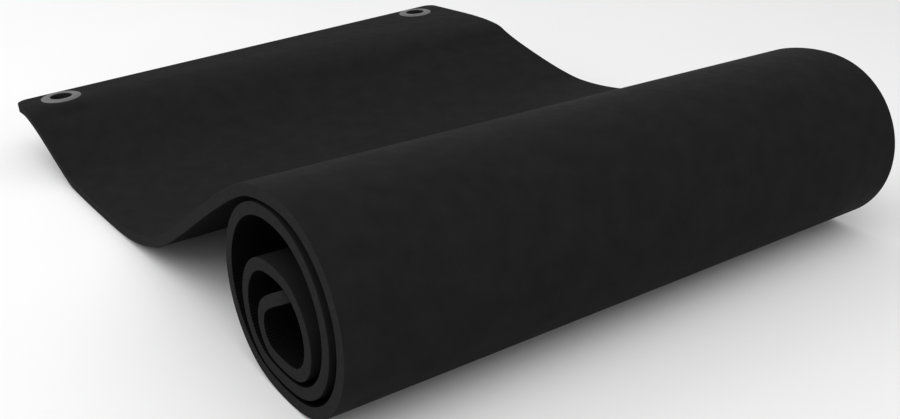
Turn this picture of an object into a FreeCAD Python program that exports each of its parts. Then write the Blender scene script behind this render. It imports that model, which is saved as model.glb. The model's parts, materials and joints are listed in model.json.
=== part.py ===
"""A roll-up foam exercise mat with two hanging eyelets, wound up except for its free end.

The mat is one sheet of foam. It bends everywhere, so it is divided across its length into flat
strips that turn about the lines between them. All the lines are laid out on the flat mat: u runs
from the eyelet end to the inner end of the roll, y runs across the width, and z points out of the
smooth face, which is the outside of the roll. Each line has its own bend, and at no bend the
strips form the flat mat again.
"""

import FreeCAD
import Part

import math
import os

Vector = FreeCAD.Vector

# The mat, in mm
MAT_WIDTH = 600.0
MAT_THICKNESS = 10.0
CORNER_RADIUS = 14.0
STRIP_GAP = 0.3  # between neighbouring strips
NEST_GAP = 2.6  # between turns at the bottom of the roll, which they need to open clear of each other

# The roll, seen from its end: where the middle of the foam runs level or plumb, as (x, z)
TURN_TOPS = ((10.0, 160.0), (0.0, 146.0), (3.0, 103.0))
TURN_RIGHTS = ((94.0, 80.0), (74.0, 75.0), (48.0, 60.0))
TURN_BOTTOMS_X = (10.0, 10.0, 12.0)
TURN_LEFTS = ((-74.0, 75.0), (-48.5, 60.0), (-24.0, 52.0))
INNER_LENGTHS = (6.0, 14.0, 40.0)  # half a plumb strip, the next strip and the straight inner end
ROLL_BEND = 30.0  # degrees between neighbouring strips

MITRE_MARGIN = 1.05  # how much deeper than the bend needs the ends of the strips are cut back

# The free end. A bend across the flap is where its line meets the near edge and the far edge,
# in mm from the eyelet end, and an angle in degrees: above 0 it goes the way of the roll
TIP_BEND = (46.0, 148.0, 30.0)
LIFT_LINES = ((147.0, 184.0), (170.0, 299.0))
LIFT_BEND = -13.8
VALLEY_LINES = ((303.0, 354.0), (350.0, 416.0), (396.0, 478.0), (443.0, 540.0))
SLOPE_ANGLE = 34.0
CREST_STEP = 46.0

# The eyelets
EYELET_FROM_SIDE = 46.0
EYELET_FROM_END = 25.5
EYELET_BORE_R = 12.0
EYELET_WALL = 1.0
FLANGE_R = 22.5
FLANGE_THICKNESS = 1.6
WASHER_THICKNESS = 1.0
CURL_WIDTH = 2.4
CURL_THICKNESS = 0.8

HALF = MAT_THICKNESS / 2

# The search for the valley's bend
STEEPEST_BEND = 30.0
HALVINGS = 60


def quarter(start, end):
    """Half lengths and a step for three equal bends between a level run and a plumb run."""
    bend = math.radians(ROLL_BEND)
    share = math.cos(bend) + math.cos(2 * bend)
    across = abs(end[0] - start[0])
    down = abs(end[1] - start[1])
    step = min(across, down) / (share + 0.5)
    return across - share * step, step, down - share * step


def turn_points():
    """The level and plumb points of the roll, from the outside in."""
    points = []
    for k in range(len(TURN_TOPS)):
        bottom = HALF + k * (MAT_THICKNESS + NEST_GAP)
        points += [TURN_TOPS[k], TURN_RIGHTS[k], (TURN_BOTTOMS_X[k], bottom), TURN_LEFTS[k]]
    return points


def roll_lengths():
    """The lengths of the roll's strips, from the middle of its top strip to its inner end."""
    lengths = [0.0]
    points = turn_points()
    for k in range(len(points) - 1):
        across, step, down = quarter(points[k], points[k + 1])
        first, last = (across, down) if k % 2 == 0 else (down, across)
        lengths[-1] += first
        lengths += [step, step, last]
    lengths[-1] += INNER_LENGTHS[0]
    return lengths + list(INNER_LENGTHS[1:])


def turned(line, angle):
    """The placement that turns all beyond a line of the flat mat about that line."""
    near = Vector(line[0], 0, 0)
    far = Vector(line[1], MAT_WIDTH, 0)
    return FreeCAD.Placement(Vector(), FreeCAD.Rotation(far - near, angle), near)


def flap_bends(valley_bend):
    """The bends of the flap from the eyelet end to the valley."""
    bends = [TIP_BEND]
    bends += [line + (LIFT_BEND,) for line in LIFT_LINES]
    bends += [line + (valley_bend,) for line in VALLEY_LINES]
    return bends


def floor_direction(valley_bend):
    """Which way the near edge runs on the floor strip, where the roll stands level."""
    slope = FreeCAD.Rotation(Vector(0, 1, 0), -SLOPE_ANGLE)
    for line in reversed(VALLEY_LINES):
        slope = slope * turned(line, -valley_bend).Rotation
    return slope.multVec(Vector(1, 0, 0))


def level_valley_bend():
    """The bend at each valley line that lays the floor strip's near edge level."""
    low, high = -STEEPEST_BEND, 0.0
    for _ in range(HALVINGS):
        middle = (low + high) / 2
        if floor_direction(middle).z < 0:
            low = middle
        else:
            high = middle
    return (low + high) / 2


def all_bends(slope_length):
    """Every bend of the flat mat, and the mat's length."""
    bends = flap_bends(level_valley_bend())
    at = VALLEY_LINES[-1][0] + slope_length
    for _ in range(2):
        bends.append((at, at, SLOPE_ANGLE / 2))
        at += CREST_STEP
    at -= CREST_STEP / 2
    lengths = roll_lengths()
    for length in lengths[:-1]:
        at += length
        bends.append((at, at, ROLL_BEND))
    return bends, at + lengths[-1]


def places(bends):
    """One placement per strip, from flat to bent, with the roll's top strip level in its place."""
    top = len(flap_bends(0)) + 2
    middle = bends[top - 1][0] + CREST_STEP / 2
    start = Vector(TURN_TOPS[0][0] - middle, 0, TURN_TOPS[0][1])
    found = {top: FreeCAD.Placement(start, FreeCAD.Rotation())}
    for k in range(top, len(bends)):
        found[k + 1] = found[k] * turned(bends[k][:2], bends[k][2])
    for k in range(top, 0, -1):
        found[k - 1] = found[k] * turned(bends[k - 1][:2], -bends[k - 1][2])
    return [found[k] for k in range(len(bends) + 1)]


def floor_strip():
    """Which strip lies on the floor by its near edge."""
    return 1 + len(LIFT_LINES)


def sheet():
    """The bends, the mat's length and the placements of the mat that lies on the floor."""
    bends, _ = all_bends(0.0)
    edge = Vector(VALLEY_LINES[0][0], 0, 0)
    height = places(bends)[floor_strip()].multVec(edge).z - HALF
    bends, length = all_bends(height / math.sin(math.radians(SLOPE_ANGLE)))
    return bends, length, places(bends)


def end_points(at, inwards, bend):
    """The three points of a strip's end in one section, from the smooth face to the ribbed face."""
    cut = HALF * math.tan(math.radians(abs(bend)) / 2) * MITRE_MARGIN
    upper = cut if bend < 0 else 0.0
    lower = cut if bend > 0 else 0.0
    gap = STRIP_GAP / 2 if bend else 0.0
    return [
        (at + inwards * (gap + upper), HALF),
        (at + inwards * gap, 0.0),
        (at + inwards * (gap + lower), -HALF),
    ]


def strip_section(first, last, y):
    """The outline of one strip across the fold lines. Each end is a place and a bend."""
    start = end_points(first[0], 1, first[1])
    end = end_points(last[0], -1, last[1])
    points = [Vector(u, y, z) for u, z in start + end[::-1]]
    return Part.makePolygon(points + points[:1])


def flat_strip(first, last):
    """One strip of the flat mat between two lines, each (near, far, bend)."""
    near = strip_section((first[0], first[2]), (last[0], last[2]), 0)
    far = strip_section((first[1], first[2]), (last[1], last[2]), MAT_WIDTH)
    return Part.makeLoft([near, far], True, True)


def round_corners(strip, u):
    """Rounds the mat's two corners at one of its ends."""
    for y in (0, MAT_WIDTH):
        inside = CORNER_RADIUS if y == 0 else -CORNER_RADIUS
        along = CORNER_RADIUS if u == 0 else -CORNER_RADIUS
        corner = Part.makeBox(CORNER_RADIUS, CORNER_RADIUS, 2 * MAT_THICKNESS)
        corner.translate(Vector(min(u, u + along), min(y, y + inside), -MAT_THICKNESS))
        disc = Part.makeCylinder(CORNER_RADIUS, 2 * MAT_THICKNESS)
        disc.translate(Vector(u + along, y + inside, -MAT_THICKNESS))
        strip = strip.cut(corner.cut(disc))
    return strip


def ring(inner, outer, low, high):
    """A flat ring about the Z axis."""
    body = Part.makeCylinder(outer, high - low, Vector(0, 0, low))
    return body.cut(Part.makeCylinder(inner, high - low, Vector(0, 0, low)))


def eyelet_barrel():
    """An eyelet's flange and tube, and the curl that holds its washer, about the Z axis."""
    tube_r = EYELET_BORE_R + EYELET_WALL
    below = -HALF - WASHER_THICKNESS
    flange = ring(EYELET_BORE_R, FLANGE_R, HALF, HALF + FLANGE_THICKNESS)
    top = [edge for edge in flange.Edges if edge.Vertexes[0].Z > HALF + FLANGE_THICKNESS / 2]
    flange = flange.makeFillet(FLANGE_THICKNESS / 2, [e for e in top if e.Closed])
    tube = ring(EYELET_BORE_R, tube_r, below, HALF)
    curl = ring(EYELET_BORE_R, tube_r + CURL_WIDTH, below - CURL_THICKNESS, below)
    return flange.fuse([tube, curl]).removeSplitter()


def eyelet_washer():
    """The ring under the foam that the barrel is curled over."""
    return ring(EYELET_BORE_R + EYELET_WALL, FLANGE_R, -HALF - WASHER_THICKNESS, -HALF)


def eyelet_spots():
    """Where the eyelets go through the flat mat."""
    return {
        "near": Vector(EYELET_FROM_END, EYELET_FROM_SIDE, 0),
        "far": Vector(EYELET_FROM_END, MAT_WIDTH - EYELET_FROM_SIDE, 0),
    }


def strip_name(k):
    """Strips are numbered from the eyelet end."""
    return "mat_strip_%02d" % (k + 1)


def flat_pieces(bends, length):
    """Every piece in its place on the flat mat, with the number of the strip that carries it."""
    lines = [(0.0, 0.0, 0.0)] + bends + [(length, length, 0.0)]
    pieces = {}
    for k in range(len(lines) - 1):
        pieces[strip_name(k)] = (flat_strip(lines[k], lines[k + 1]), k)
    last = len(lines) - 2
    end_strip = round_corners(pieces[strip_name(0)][0], 0.0)
    for side, spot in eyelet_spots().items():
        hole = Part.makeCylinder(EYELET_BORE_R + EYELET_WALL, 2 * MAT_THICKNESS)
        hole.translate(spot - Vector(0, 0, MAT_THICKNESS))
        end_strip = end_strip.cut(hole)
        barrel = eyelet_barrel()
        barrel.translate(spot)
        washer = eyelet_washer()
        washer.translate(spot)
        pieces["eyelet_barrel_" + side] = (barrel, 0)
        pieces["eyelet_washer_" + side] = (washer, 0)
    pieces[strip_name(0)] = (end_strip, 0)
    pieces[strip_name(last)] = (round_corners(pieces[strip_name(last)][0], length), last)
    return pieces


def model():
    """The bent mat as {name: shape}, with the middle of its base at the origin, and the shift."""
    bends, length, placed = sheet()
    shapes = {}
    for name, (shape, k) in flat_pieces(bends, length).items():
        shapes[name] = shape.transformed(placed[k].toMatrix())
    box = Part.makeCompound(list(shapes.values())).BoundBox
    shift = Vector(-box.Center.x, -box.Center.y, -box.ZMin)
    for shape in shapes.values():
        shape.translate(shift)
    return shapes, shift


def main():
    os.makedirs("parts", exist_ok=True)
    shapes, _ = model()
    for name, shape in shapes.items():
        shape.exportStep("parts/%s.step" % name)
    print("strips", len(sheet()[0]) + 1, "length of the flat mat", round(sheet()[1], 1))


if __name__ == "__main__":
    main()
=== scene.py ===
"""The looks of a roll-up exercise mat: one foam sheet, wound up except for its free end, with two
hanging eyelets.

The foam is made flat, where u runs from the eyelet end to the inner end of the roll, y runs across
the width and z points out of the smooth face. It is then bent over the fold lines that the CAD
gives it. There is one length of foam per fold line, from the middle of one strip to the middle of
the next, and two lengths always meet on one strip.
"""

import json
import math

import bmesh
import bpy
from mathutils import Matrix, Vector

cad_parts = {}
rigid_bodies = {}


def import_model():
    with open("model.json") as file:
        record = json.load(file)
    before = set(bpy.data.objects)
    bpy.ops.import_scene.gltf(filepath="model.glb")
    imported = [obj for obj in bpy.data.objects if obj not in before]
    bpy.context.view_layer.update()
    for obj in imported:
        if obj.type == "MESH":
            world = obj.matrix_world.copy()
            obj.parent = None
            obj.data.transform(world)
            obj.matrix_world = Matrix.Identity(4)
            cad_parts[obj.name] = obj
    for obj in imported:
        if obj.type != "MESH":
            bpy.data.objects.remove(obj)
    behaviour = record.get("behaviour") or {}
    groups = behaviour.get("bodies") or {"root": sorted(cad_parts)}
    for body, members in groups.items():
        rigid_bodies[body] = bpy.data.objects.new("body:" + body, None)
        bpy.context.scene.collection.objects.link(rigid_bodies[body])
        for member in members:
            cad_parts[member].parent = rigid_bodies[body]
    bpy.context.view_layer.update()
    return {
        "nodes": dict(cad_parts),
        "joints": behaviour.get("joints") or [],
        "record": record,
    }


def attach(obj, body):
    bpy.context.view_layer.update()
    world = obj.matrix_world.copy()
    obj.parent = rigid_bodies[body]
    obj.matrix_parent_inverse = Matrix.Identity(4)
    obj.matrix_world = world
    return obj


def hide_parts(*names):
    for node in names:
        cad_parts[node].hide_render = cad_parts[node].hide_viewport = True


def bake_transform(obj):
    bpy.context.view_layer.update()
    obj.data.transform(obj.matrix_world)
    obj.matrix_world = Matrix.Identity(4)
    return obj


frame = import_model()

# The mat, in metres
WIDTH = 0.600
HALF = 0.005  # of the foam's thickness
CORNER_RADIUS = 0.014
EYELET_FROM_SIDE = 0.046
EYELET_FROM_END = 0.0255
EYELET_HOLE = 0.013
BORE_RADIUS = 0.0125
RIB_PITCH = 0.003
RIB_DEPTH = 0.0004
EDGE_WEAR = 0.0006  # how far the cut edges are rounded
RING_STEPS = 48  # round an eyelet
FOAM_CREASE = 20  # degrees, above which an edge is shaded sharp
RING_CREASE = 50

# How finely the foam is divided
ROW = RIB_PITCH / 4  # between rows of faces along the mat
COLUMNS_FLAP = 48
COLUMNS_ROLL = 12
CORNER_CUTS = 9
END_STEP = 0.0002  # a thin row beside each seam
HOLE_PATCH = 0.0155  # half the square of faces that a hole is cut in
HOLE_MARGIN = 0.001
GRIP = 0.0235  # the foam is held flat this far from the middle of an eyelet
GRIP_FADE = 0.048  # and bends freely beyond this
GRIP_START = -0.0055  # the first fold bends no foam under an eyelet

# How near counts as the same place, in metres
ON_LINE = 0.0005
ON_SEAM = 5e-6
PARALLEL = 1e-4
CUT_NEAR = 1e-6
SAME_POINT = 1e-7
STRAIGHT = 1e-9

# The camera, in metres and degrees
CAMERA_PLACE = Vector((0.87374, -0.56811, 0.44357))
CAMERA_AZIMUTH = 54.33
CAMERA_ELEVATION = 24.37
CAMERA_LENS = 41.65  # mm
SENSOR_WIDTH = 36.0  # mm

# The floor and the lights, in metres and watts, and the strength of the even light around them
FLOOR_HALF = 30
FLOOR_DROP = 0.0005
LIT_PLACE = Vector((0, 0, 0.08))
WORLD_STRENGTH = 0.76
TOP_LIGHT = {"place": (0.9, -0.9, 2.1), "size": 2.4, "watts": 26.0}
FRONT_LIGHT = {"place": (-1.6, -1.2, 1.6), "size": 1.8, "watts": 16.0}


# ---------------------------------------------------------------- the fold lines

def strip_name(k):
    return "mat_strip_%02d" % (k + 1)


def fold_line(joint):
    """Where a fold line meets the mat's near edge and far edge."""
    near = Vector(joint["pos_m"])
    along = Vector(joint["axis"])
    if along.y < 0:
        along.negate()
    reach = 0.0
    for vertex in frame["nodes"][joint["parent"]].data.vertices:
        away = vertex.co - near
        if away.cross(along).length < ON_LINE:
            reach = max(reach, away.dot(along))
    return near, near + along * reach


def mount(name):
    """A mount of the CAD, by its name."""
    return next(m for m in frame["record"]["mounts"] if m["name"] == name)


class Placing:
    """A flat stretch of the mat: where it starts, and which way u, y and z run."""

    def __init__(self):
        near = Vector(mount("eyelet_near")["pos_m"])
        far = Vector(mount("eyelet_far")["pos_m"])
        self.y = (far - near).normalized()
        self.z = Vector(mount("eyelet_near")["axis"]).normalized()
        self.u = self.y.cross(self.z).normalized()
        self.start = near - self.y * EYELET_FROM_SIDE - self.u * EYELET_FROM_END

    def at(self, u, y, z=0.0):
        return self.start + self.u * u + self.y * y + self.z * z

    def matrix(self, u, y):
        columns = Matrix((self.u, self.y, self.z)).transposed().to_4x4()
        return Matrix.Translation(self.at(u, y)) @ columns


end_strip = Placing()


def inner_end(lines):
    """The inner end's near and far corners, one more equal bend along the roll."""
    before = (lines[-2][0] - lines[-3][0]).normalized()
    last = (lines[-1][0] - lines[-2][0]).normalized()
    onwards = before.rotation_difference(last) @ last
    mesh = frame["nodes"][strip_name(len(lines) - 1)].data
    reach = max((vertex.co - lines[-1][0]).dot(onwards) for vertex in mesh.vertices)
    return lines[-1][0] + onwards * reach, lines[-1][1] + onwards * reach


def all_lines():
    """The eyelet end, every fold line and the inner end, each as its near and far corner."""
    joints = sorted(frame["joints"], key=lambda joint: min(joint["parent"], joint["child"]))
    lines = [(end_strip.at(0, 0), end_strip.at(0, WIDTH))]
    lines += [fold_line(joint) for joint in joints]
    return lines + [inner_end(lines)]


LINES = all_lines()


def flat_places():
    """How far each line is from the eyelet end, along the mat's near edge and far edge."""
    places = [(0.0, 0.0)]
    for k in range(1, len(LINES)):
        near = places[-1][0] + (LINES[k][0] - LINES[k - 1][0]).length
        far = places[-1][1] + (LINES[k][1] - LINES[k - 1][1]).length
        places.append((near, far))
    return places


FLAT = flat_places()
LENGTH = FLAT[-1][0]
FOLDS = range(1, len(LINES) - 1)


def middle(pair):
    """A line midway between two lines."""
    (a, b), (c, d) = pair
    return (a + c) / 2, (b + d) / 2


def across(line, share):
    return line[0] + (line[1] - line[0]) * share


# ---------------------------------------------------------------- bending the flat foam

class Bend:
    """The smooth curve over one fold line, from the middle of one strip to the middle of the next."""

    def __init__(self, k):
        self.space = [middle(LINES[k - 1:k + 1]), LINES[k], middle(LINES[k:k + 2])]
        self.flat = [middle(FLAT[k - 1:k + 1]), FLAT[k], middle(FLAT[k:k + 2])]
        self.first = k == FOLDS[0]
        self.last = k == FOLDS[-1]

    def skewed(self):
        """Whether a line of this bend leans against the mat's inner end."""
        square_end = FLAT[-1][1] - FLAT[-1][0]
        return any(abs(far - near - square_end) > PARALLEL for near, far in self.flat)

    def limits(self, y):
        """Where this length of foam starts and ends on the flat mat."""
        share = y / WIDTH
        start = 0.0 if self.first else across(self.flat[0], share)
        end = LENGTH if self.last else across(self.flat[2], share)
        return start, end

    def share_of_curve(self, u, y):
        """How far round the curve a place on the flat mat is: 0 at its start and 1 at its end."""
        a, b, c = (across(line, y / WIDTH) for line in self.flat)
        square, linear = a - 2 * b + c, 2 * (b - a)
        if abs(square) < STRAIGHT:
            return (u - a) / linear
        root = math.sqrt(max(linear * linear - 4 * square * (a - u), 0.0))
        return 2 * (u - a) / (linear + root)

    def bent(self, u, y, z):
        """The place in space of a place in the flat foam."""
        share = y / WIDTH
        a, b, c = (across(line, share) for line in self.space)
        p, q, r = (line[1] - line[0] for line in self.space)
        t = self.share_of_curve(u, y)
        bound = min(max(t, 0.0), 1.0)
        s = 1 - bound
        along = (b - a) * s + (c - b) * bound
        side = p * s * s + q * 2 * s * bound + r * bound * bound
        middle_place = a * s * s + b * 2 * s * bound + c * bound * bound
        if t < 0 or t > 1:
            beyond = u - across(self.flat[0 if t < 0 else 2], share)
            middle_place = middle_place + along.normalized() * beyond
        return middle_place + along.cross(side).normalized() * z


def eyelet_places():
    return {"near": EYELET_FROM_SIDE, "far": WIDTH - EYELET_FROM_SIDE}


def smooth(x):
    x = min(max(x, 0.0), 1.0)
    return x * x * (3 - 2 * x)


def gripped(u, y):
    """1 where an eyelet holds the foam flat, falling to 0 around it."""
    away = min(math.hypot(u - EYELET_FROM_END, y - side) for side in eyelet_places().values())
    return smooth((GRIP_FADE - away) / (GRIP_FADE - GRIP))


def bend_foam(bm, bend):
    """Moves every vertex of the flat foam to its place in space."""
    for vertex in bm.verts:
        u, y, z = vertex.co
        place = bend.bent(u, y, z)
        if bend.first:
            place = place.lerp(end_strip.at(u, y, z), gripped(u, y))
        vertex.co = place


# ---------------------------------------------------------------- making the flat foam

def places_across(bend):
    """Where the columns of faces lie: closer on the flap, whose fold lines are not parallel."""
    count = COLUMNS_FLAP if bend.skewed() else COLUMNS_ROLL
    columns = {WIDTH * k / count for k in range(count + 1)}
    if bend.first:
        for side in eyelet_places().values():
            near, far = side - HOLE_PATCH, side + HOLE_PATCH
            columns = {y for y in columns if abs(y - near) > ROW and abs(y - far) > ROW}
            columns |= {near, far}
    return sorted(columns)


def cut_sheet(bm, u, y, out_u, out_y, drop):
    """Cuts the flat sheet along a line, and drops what is beyond it if asked to."""
    bmesh.ops.bisect_plane(
        bm, geom=bm.verts[:] + bm.edges[:] + bm.faces[:], dist=CUT_NEAR, plane_co=(u, y, 0),
        plane_no=(out_u, out_y, 0), clear_outer=drop
    )


def cut_to_seams(bm, bend):
    """Cuts a sheet to its two seams, with a thin row inside each so that two lengths meet smoothly."""
    for which, way in ((0, -1), (2, 1)):
        near, far = bend.flat[which]
        lean = far - near
        if (which == 0 and not bend.first) or (which == 2 and not bend.last):
            cut_sheet(bm, near - way * END_STEP, 0, way * WIDTH, -way * lean, False)
            cut_sheet(bm, near, 0, way * WIDTH, -way * lean, True)
    if bend.last:
        cut_sheet(bm, LENGTH, 0, 1, 0, True)


def flat_sheet(bend):
    """The smooth face of one length of foam, laid out flat, in rows that follow the ribs."""
    ends = bend.limits(0) + bend.limits(WIDTH)
    first, last = math.floor(min(ends) / ROW), math.ceil(max(ends) / ROW)
    columns = places_across(bend)
    bm = bmesh.new()
    bmesh.ops.create_grid(bm, x_segments=last - first, y_segments=len(columns) - 1, size=0.5)
    for vertex in bm.verts:
        row = first + round((vertex.co.x + 0.5) * (last - first))
        y = columns[round((vertex.co.y + 0.5) * (len(columns) - 1))]
        vertex.co = Vector((row * ROW, y, HALF))
    cut_to_seams(bm, bend)
    return bm


def round_corners(bm, u):
    """Rounds the mat's two corners at one end with cuts along the round."""
    inwards = 1 if u == 0 else -1
    centre_u = u + inwards * CORNER_RADIUS
    for centre_y, way in ((CORNER_RADIUS, -1), (WIDTH - CORNER_RADIUS, 1)):
        for k in range(1, CORNER_CUTS + 1):
            turn = math.pi / 2 * k / (CORNER_CUTS + 1)
            out_u, out_y = -inwards * math.cos(turn), way * math.sin(turn)
            place = (centre_u + out_u * CORNER_RADIUS, centre_y + out_y * CORNER_RADIUS)
            cut_sheet(bm, *place, out_u, out_y, True)


def cut_eyelet_hole(bm, side):
    """Opens a round hole where an eyelet goes through."""
    centre = Vector((EYELET_FROM_END, side, HALF))
    patch = {
        face for face in bm.faces
        if max(abs(x) for x in (face.calc_center_median() - centre)) < HOLE_PATCH
    }
    inside = {edge for face in patch for edge in face.edges}
    rim = [edge for edge in inside if len(patch.intersection(edge.link_faces)) == 1]
    bmesh.ops.delete(bm, geom=list(patch), context="FACES")
    made = bmesh.ops.create_circle(
        bm, segments=RING_STEPS, radius=EYELET_HOLE, matrix=Matrix.Translation(centre)
    )
    hole = list({edge for vertex in made["verts"] for edge in vertex.link_edges})
    bmesh.ops.triangle_fill(bm, edges=rim + hole, use_beauty=True, use_dissolve=False)


def thicken(bm):
    """Gives the sheet its thickness, down from the smooth face."""
    made = bmesh.ops.extrude_face_region(bm, geom=bm.faces[:])
    moved = [item for item in made["geom"] if isinstance(item, bmesh.types.BMVert)]
    bmesh.ops.translate(bm, verts=moved, vec=Vector((0, 0, -2 * HALF)))
    bmesh.ops.recalc_face_normals(bm, faces=bm.faces[:])


def is_seam(face, bend):
    """Whether a face is a flat end that another length of foam meets."""
    if abs(face.normal.z) > 0.5:
        return False
    centre = face.calc_center_median()
    start, end = bend.limits(centre.y)
    at_start = abs(centre.x - start) < ON_SEAM and not bend.first
    at_end = abs(centre.x - end) < ON_SEAM and not bend.last
    return at_start or at_end


def is_hole(face):
    centre = face.calc_center_median()
    return any(
        math.hypot(centre.x - EYELET_FROM_END, centre.y - side) < EYELET_HOLE + HOLE_MARGIN
        for side in eyelet_places().values()
    )


SMOOTH_FACE, RIBBED_FACE, CUT_FACE = range(3)


def finish_edges(bm, bend):
    """Names each face's finish and takes the sharpness off the cut edges."""
    bm.normal_update()
    for face in bm.faces:
        if abs(face.normal.z) < 0.5:
            face.material_index = CUT_FACE
        else:
            face.material_index = SMOOTH_FACE if face.normal.z > 0 else RIBBED_FACE
    worn = []
    for edge in bm.edges:
        cut = [face for face in edge.link_faces if face.material_index == CUT_FACE]
        if len(cut) == 1 and not is_seam(cut[0], bend) and not is_hole(cut[0]):
            worn.append(edge)
    bmesh.ops.bevel(
        bm, geom=worn, offset=EDGE_WEAR, segments=2, profile=0.5, affect="EDGES", material=-1
    )


def groove(u):
    """How deep the ribbed face is cut at a place along the mat."""
    return RIB_DEPTH * max(0.0, 1 - 4 * abs((u / RIB_PITCH) % 1 - 0.5))


def cut_ribs(bm):
    """Sinks the grooves between the ribs into the inner face, fading out over the worn edge."""
    for vertex in bm.verts:
        share = (-vertex.co.z - HALF + 2 * EDGE_WEAR) / (2 * EDGE_WEAR)
        if share > 0:
            vertex.co.z += groove(vertex.co.x) * share


def lay_flat_map(bm):
    """Keeps each corner's place on the flat mat as the piece's UV map, in metres."""
    layer = bm.loops.layers.uv.new("flat_mat")
    for face in bm.faces:
        for loop in face.loops:
            loop[layer].uv = (loop.vert.co.x, loop.vert.co.y)


def shade(bm, angle):
    """Shades the faces smooth, apart from the edges that turn sharply."""
    bm.normal_update()
    for face in bm.faces:
        face.smooth = True
    for edge in bm.edges:
        edge.smooth = edge.calc_face_angle(math.pi) < math.radians(angle)


def piece(bm, name, materials):
    mesh = bpy.data.meshes.new(name)
    bm.to_mesh(mesh)
    bm.free()
    for material in materials:
        mesh.materials.append(material)
    made = bpy.data.objects.new(name, mesh)
    bpy.context.scene.collection.objects.link(made)
    return made


def length_of_foam(k, materials):
    """One length of foam, over fold line k."""
    bend = Bend(k)
    bm = flat_sheet(bend)
    if bend.first:
        round_corners(bm, 0.0)
        for side in eyelet_places().values():
            cut_eyelet_hole(bm, side)
    if bend.last:
        round_corners(bm, LENGTH)
    thicken(bm)
    finish_edges(bm, bend)
    lay_flat_map(bm)
    cut_ribs(bm)
    bend_foam(bm, bend)
    shade(bm, FOAM_CREASE)
    made = piece(bm, "mat_length_%02d" % k, materials)
    nodes = [strip_name(k)] if bend.last else []
    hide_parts(strip_name(k - 1), *nodes)
    start, end = blend_points(bend)
    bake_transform(made)
    return made


def blend_points(bend):
    """Two points on a line square to the fold line, between the two strips that it joins."""
    fold = (bend.space[1][1] - bend.space[1][0]).normalized()
    centre = across(bend.space[1], 0.5)
    way = across(bend.space[2], 0.5) - across(bend.space[0], 0.5)
    way = (way - fold * way.dot(fold)).normalized()
    reach = []
    for which in (0, 2):
        seam = bend.space[which]
        run = bend.space[1][0] - seam[0] if which == 0 else seam[0] - bend.space[1][0]
        normal = run.cross(seam[1] - seam[0]).normalized()
        reach.append([(p + normal * z - centre).dot(way) for p in seam for z in (HALF, -HALF)])
    start, end = max(reach[0]), min(reach[1])
    if bend.first:
        start = max(start, GRIP_START)
    return centre + way * start, centre + way * end


# ---------------------------------------------------------------- the eyelets

def ring_profile(points):
    """A closed outline in the X-Z plane, as (radius, height)."""
    bm = bmesh.new()
    verts = [bm.verts.new((r, 0, z)) for r, z in points]
    for k in range(len(verts)):
        bm.edges.new((verts[k - 1], verts[k]))
    return bm


def spin_ring(points):
    """A closed ring, spun from its outline."""
    bm = ring_profile(points)
    bmesh.ops.spin(
        bm, geom=bm.verts[:] + bm.edges[:], cent=(0, 0, 0), axis=(0, 0, 1),
        dvec=(0, 0, 0), angle=math.tau, steps=RING_STEPS, use_merge=True
    )
    bmesh.ops.remove_doubles(bm, verts=bm.verts[:], dist=SAME_POINT)
    bmesh.ops.recalc_face_normals(bm, faces=bm.faces[:])
    return bm


def mm(*points):
    """Outline points, from millimetres to metres."""
    return [(r / 1000, z / 1000) for r, z in points]


def barrel_points():
    """The eyelet's domed flange, its tube, and the curl over the washer."""
    return mm(
        (12.0, 4.4), (12.05, 5.5), (12.5, 6.2), (13.3, 6.55), (14.6, 6.6), (17.0, 6.5), (19.6, 6.2),
        (21.4, 5.8), (22.3, 5.4), (22.5, 5.1), (22.1, 5.0), (18.0, 5.0), (13.4, 5.0), (13.0, 4.6),
        (13.0, -5.4), (13.2, -5.85), (14.0, -6.0), (15.1, -6.05), (15.4, -6.4), (15.1, -6.75),
        (14.0, -6.8), (13.0, -6.75), (12.3, -6.4), (12.0, -5.6)
    )


def washer_points():
    """The ring on the ribbed face."""
    return mm(
        (13.05, -5.2), (13.3, -5.0), (18.0, -5.0), (22.1, -5.0), (22.5, -5.2), (22.5, -5.6),
        (22.1, -5.95), (18.0, -6.0), (13.3, -6.0), (13.05, -5.8)
    )


def flat_radius(place, side):
    """How far a place is from the middle line of an eyelet."""
    away = place - end_strip.at(EYELET_FROM_END, side)
    return (away - end_strip.z * away.dot(end_strip.z)).length


def eyelet_part(name, points, side, node, materials):
    """One ring of an eyelet, in its place on the end strip."""
    bm = spin_ring(points)
    bmesh.ops.transform(bm, matrix=end_strip.matrix(EYELET_FROM_END, side), verts=bm.verts[:])
    shade(bm, RING_CREASE)
    for face in bm.faces:
        inner = flat_radius(face.calc_center_median(), side)
        # faces inside the tube take the painted shade of the hole
        face.material_index = 1 if inner < BORE_RADIUS else 0
    made = piece(bm, name, materials)
    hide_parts(node)
    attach(made, strip_name(0))
    return made


# ---------------------------------------------------------------- materials

class Wired:
    """A node's output, on which Python's arithmetic adds Math nodes."""

    def __init__(self, paint, socket):
        self.paint = paint
        self.socket = socket

    def maths(self, operation, *terms):
        return self.paint.node("Math", {"operation": operation}, dict(enumerate(terms)))

    def __add__(self, other):
        return self.maths("ADD", self, other)

    def __sub__(self, other):
        return self.maths("SUBTRACT", self, other)

    def __rsub__(self, other):
        return self.maths("SUBTRACT", other, self)

    def __mul__(self, other):
        return self.maths("MULTIPLY", self, other)

    __radd__ = __add__
    __rmul__ = __mul__


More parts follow.
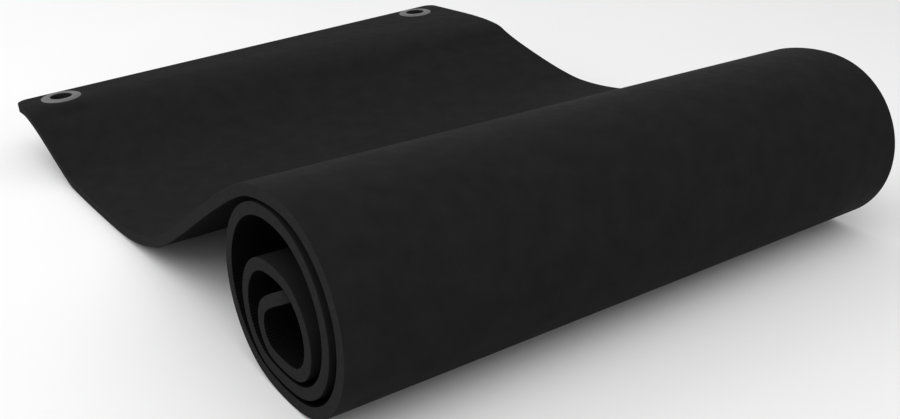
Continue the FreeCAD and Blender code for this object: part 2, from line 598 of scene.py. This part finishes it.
class Paint:
    """One material and its nodes."""

    def __init__(self, name):
        self.material = bpy.data.materials.new(name)
        self.material.use_nodes = True
        self.tree = self.material.node_tree
        self.tree.nodes.clear()

    def node(self, kind, settings=None, sockets=None, output=0):
        """Adds a node, sets it up, fills its sockets, and gives one of its outputs."""
        made = self.tree.nodes.new("ShaderNode" + kind)
        for name, value in (settings or {}).items():
            if name == "stops":
                self.set_stops(made.color_ramp, value)
            else:
                setattr(made, name, value)
        for name, value in (sockets or {}).items():
            if isinstance(value, Wired):
                self.tree.links.new(value.socket, made.inputs[name])
            else:
                made.inputs[name].default_value = value
        return Wired(self, made.outputs[output]) if made.outputs else made

    def set_stops(self, ramp, stops):
        while len(ramp.elements) < len(stops):
            ramp.elements.new(0.5)
        for element, (at, level) in zip(ramp.elements, stops):
            element.position = at
            element.color = (level, level, level, 1)

    def object_place(self):
        return self.node("TexCoord", output="Object")

    def noise(self, place, scale, detail=2.0):
        return self.node(
            "TexNoise", {}, {"Vector": place, "Scale": scale, "Detail": detail}, output="Fac"
        )

    def ramp(self, value, *stops):
        return self.node("ValToRGB", {"stops": stops}, {"Fac": value})

    def mix(self, share, first, second):
        return self.node(
            "Mix", {"data_type": "RGBA"}, {"Factor": share, 6: first, 7: second}, output=2
        )

    def bump(self, height, depth, under=None):
        sockets = {"Height": height, "Distance": depth, "Strength": 1.0}
        if under is not None:
            sockets["Normal"] = under
        return self.node("Bump", {}, sockets)

    def surface(self, **sockets):
        named = {name.replace("_", " "): value for name, value in sockets.items()}
        shader = self.node("BsdfPrincipled", {}, named)
        self.node("OutputMaterial", {}, {"Surface": shader})
        return self.material


def grey(level):
    return (level, level, level, 1)


SKIN_DARK = grey(0.0104)
SKIN_LIGHT = grey(0.0136)
# painted shade: the ribbed face is coloured darker than the skin, standing in for the shade that falls
# on the inner face
RIB_PAINTED_SHADE_DARK = grey(0.0042)
RIB_PAINTED_SHADE_LIGHT = grey(0.0056)
# painted shade at the bottom of the grooves between the ribs
GROOVE_PAINTED_SHADE = grey(0.0008)
CUT_DARK = grey(0.0115)
CUT_LIGHT = grey(0.0205)
EYELET_DARK = grey(0.085)
EYELET_LIGHT = grey(0.12)
# painted shade inside the eyelet's tube
BORE_PAINTED_SHADE_DARK = grey(0.004)
BORE_PAINTED_SHADE_LIGHT = grey(0.010)
FLOOR_DARK = grey(0.80)
FLOOR_LIGHT = grey(0.84)
FOAM_SPECULAR = 0.02  # the foam hardly shines, even seen along its surface


def skin_colour(paint, place, dark=SKIN_DARK, light=SKIN_LIGHT):
    """Near-black foam with broad faint blotches and finer specks."""
    blotches = paint.noise(place, 55.0, 3.0)
    specks = paint.noise(place, 900.0, 2.0)
    share = paint.ramp(blotches * 0.7 + specks * 0.3, (0.32, 0.0), (0.68, 1.0))
    return paint.mix(share, dark, light)


def skin_roughness(paint, place):
    """A soft sheen that varies a little."""
    return paint.noise(place, 120.0, 4.0) * 0.16 + 0.52


def smooth_skin():
    """The outside of the roll: a closed skin with a fine leathery grain."""
    paint = Paint("foam_smooth_skin")
    place = paint.object_place()
    grain = paint.noise(place, 650.0, 4.0)
    waves = paint.noise(place, 30.0, 2.0)
    normal = paint.bump(waves, 0.0012, paint.bump(grain, 0.00016))
    return paint.surface(
        Base_Color=skin_colour(paint, place), Roughness=skin_roughness(paint, place),
        Normal=normal, IOR=1.4, Specular_IOR_Level=FOAM_SPECULAR
    )


def ribbed_skin():
    """The inside of the roll: the foam's skin, duller, painted darker than the smooth face as painted
    shade, and darker still in the grooves with more painted shade.
    """
    paint = Paint("foam_ribbed_skin_painted_shade")
    place = paint.object_place()
    along = paint.node("UVMap", {"uv_map": "flat_mat"})
    u = paint.node("SeparateXYZ", {}, {0: along})
    turn = u * (math.tau / RIB_PITCH)
    wave = turn.maths("COSINE", turn)
    # mask of the painted shade in the grooves, darkest at the bottom of each groove
    deep = paint.ramp(0.5 - wave * 0.5, (0.45, 0.0), (1.0, 1.0))
    grain = paint.noise(place, 800.0, 3.0)
    return paint.surface(
        # the ribbed face in painted shade, with deeper painted shade in the grooves
        Base_Color=paint.mix(deep, skin_colour(paint, place, RIB_PAINTED_SHADE_DARK, RIB_PAINTED_SHADE_LIGHT), GROOVE_PAINTED_SHADE),
        Roughness=skin_roughness(paint, place), Normal=paint.bump(grain, 0.00012),
        Specular_IOR_Level=FOAM_SPECULAR
    )


def cut_foam():
    """The cut edges: open cells, a little paler than the skin."""
    paint = Paint("foam_cut_edge")
    place = paint.object_place()
    cells = paint.node("TexVoronoi", {}, {"Vector": place, "Scale": 1100.0}, output="Distance")
    cloudy = paint.noise(place, 260.0, 4.0)
    share = paint.ramp(cloudy * 0.6 + cells * 0.5, (0.25, 0.0), (0.75, 1.0))
    normal = paint.bump(cells, 0.00022, paint.bump(cloudy, 0.0003))
    return paint.surface(
        Base_Color=paint.mix(share, CUT_DARK, CUT_LIGHT), Roughness=0.85, Normal=normal,
        Specular_IOR_Level=FOAM_SPECULAR
    )


def eyelet_finish():
    """Dull grey coated metal with a faint brushed unevenness."""
    paint = Paint("eyelet_dull_grey")
    place = paint.object_place()
    cloudy = paint.noise(place, 180.0, 4.0)
    fine = paint.noise(place, 2600.0, 2.0)
    share = paint.ramp(cloudy * 0.6 + fine * 0.4, (0.35, 0.0), (0.65, 1.0))
    return paint.surface(
        Base_Color=paint.mix(share, EYELET_DARK, EYELET_LIGHT), Metallic=0.35,
        Roughness=cloudy * 0.2 + 0.38, Normal=paint.bump(fine, 0.00004)
    )


def bore_painted_shade():
    """The inside of an eyelet's tube, dull and painted dark: painted shade that stands in for the
    shadow inside the hole.
    """
    paint = Paint("eyelet_bore_painted_shade")
    place = paint.object_place()
    cloudy = paint.noise(place, 240.0, 3.0)
    return paint.surface(
        Base_Color=paint.mix(cloudy, BORE_PAINTED_SHADE_DARK, BORE_PAINTED_SHADE_LIGHT), Roughness=cloudy * 0.2 + 0.5,
        Normal=paint.bump(cloudy, 0.00005), Specular_IOR_Level=0.2
    )


# ---------------------------------------------------------------- floor, light, camera

def floor_finish():
    paint = Paint("pale_floor")
    place = paint.object_place()
    share = paint.noise(place, 3.0, 2.0)
    return paint.surface(
        Base_Color=paint.mix(share, FLOOR_DARK, FLOOR_LIGHT), Roughness=0.9
    )


def lay_floor():
    bm = bmesh.new()
    bmesh.ops.create_grid(bm, x_segments=4, y_segments=4, size=FLOOR_HALF)
    bmesh.ops.translate(bm, verts=bm.verts[:], vec=Vector((0, 0, -FLOOR_DROP)))
    piece(bm, "floor", [floor_finish()])


def softbox(name, place, size, watts):
    """A square soft light that faces the mat."""
    data = bpy.data.lights.new(name, "AREA")
    data.shape = "SQUARE"
    data.size = size
    data.energy = watts
    lamp = bpy.data.objects.new(name, data)
    lamp.location = place
    towards = LIT_PLACE - lamp.location
    lamp.rotation_mode = "QUATERNION"
    lamp.rotation_quaternion = towards.to_track_quat("-Z", "Y")
    bpy.context.scene.collection.objects.link(lamp)


def light_studio():
    world = bpy.data.worlds.new("studio")
    world.use_nodes = True
    background = next(n for n in world.node_tree.nodes if n.type == "BACKGROUND")
    background.inputs["Color"].default_value = grey(1.0)
    background.inputs["Strength"].default_value = WORLD_STRENGTH
    bpy.context.scene.world = world
    bpy.context.scene.view_settings.view_transform = "Standard"  # keeps the blacks deep
    softbox("top_light", **TOP_LIGHT)
    softbox("front_light", **FRONT_LIGHT)


def set_camera():
    data = bpy.data.cameras.new("camera")
    data.lens = CAMERA_LENS
    data.sensor_width = SENSOR_WIDTH
    camera = bpy.data.objects.new("camera", data)
    turn, rise = math.radians(CAMERA_AZIMUTH), math.radians(CAMERA_ELEVATION)
    back = Vector((math.sin(turn) * math.cos(rise), -math.cos(turn) * math.cos(rise), math.sin(rise)))
    camera.location = CAMERA_PLACE
    camera.rotation_mode = "QUATERNION"
    camera.rotation_quaternion = (-back).to_track_quat("-Z", "Y")
    bpy.context.scene.collection.objects.link(camera)
    bpy.context.scene.camera = camera


def make_mat():
    foam = [smooth_skin(), ribbed_skin(), cut_foam()]
    for k in FOLDS:
        length_of_foam(k, foam)
    metal = [eyelet_finish(), bore_painted_shade()]
    for name, side in eyelet_places().items():
        eyelet_part("eyelet_ring_" + name, barrel_points(), side, "eyelet_barrel_" + name, metal)
        eyelet_part("eyelet_back_" + name, washer_points(), side, "eyelet_washer_" + name, metal)


make_mat()
lay_floor()
light_studio()
set_camera()
